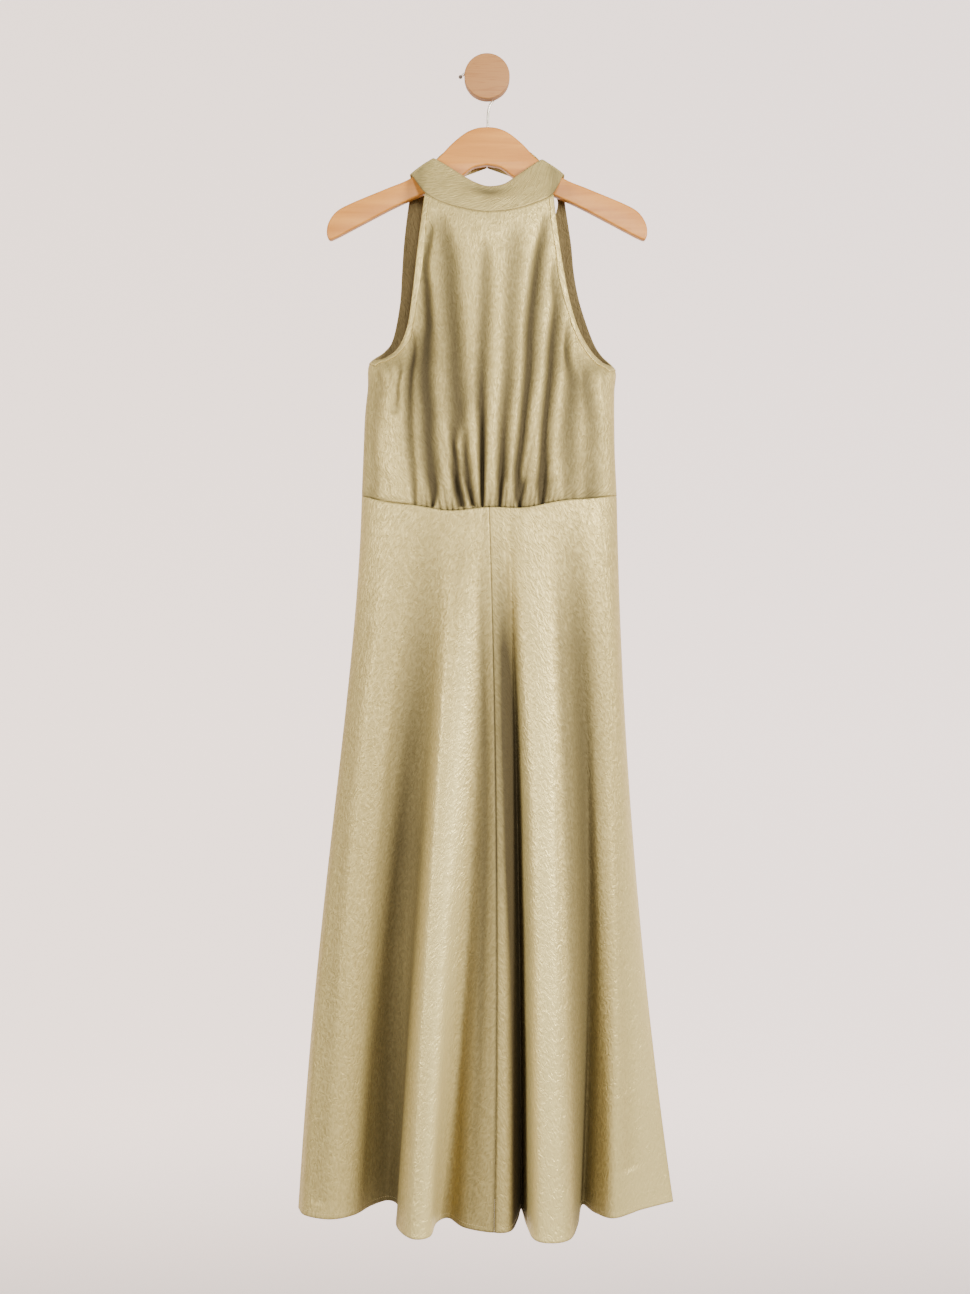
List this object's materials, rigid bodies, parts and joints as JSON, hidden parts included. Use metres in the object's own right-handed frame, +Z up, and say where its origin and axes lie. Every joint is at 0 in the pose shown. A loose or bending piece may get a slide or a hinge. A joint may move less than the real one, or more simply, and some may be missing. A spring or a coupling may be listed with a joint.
{
  "type": "halter dress on a wooden hanger and wall peg",
  "caption": "Sleeveless halter maxi dress in crinkle satin, hung flat on a plain wooden hanger from a round wall peg.",
  "frame": {"origin": "centre of the flat back face of the wall peg, on the wall", "axes": "+Z up; +Y into the wall, so the front of the dress faces -Y; +X to the right as the dress is looked at"},
  "size_m": [0.5204, 0.1756, 1.5825],
  "materials": {
    "satin": "hammered crinkle satin, face side, soft sheen",
    "satin_back": "hammered crinkle satin, back panels",
    "beech": "plain beech, satin lacquer",
    "pine": "pale wood with straight level grain, matt",
    "steel": "pale steel wire"
  },
  "bodies": {
    "root": {"wall_peg": "pine", "hook_wire": "steel", "hook_bead": "steel", "hanger": "beech", "collar_band": "satin", "front_bodice": "satin", "back_bodice_left": "satin_back", "back_bodice_right": "satin_back", "armhole_binding_front_left": "satin", "armhole_binding_front_right": "satin", "armhole_binding_back_left": "satin", "armhole_binding_back_right": "satin", "opening_binding_left": "satin", "opening_binding_right": "satin", "skirt_front_left": "satin", "skirt_front_right": "satin", "skirt_back_left": "satin_back", "skirt_back_right": "satin_back"}
  },
  "joints": []
}
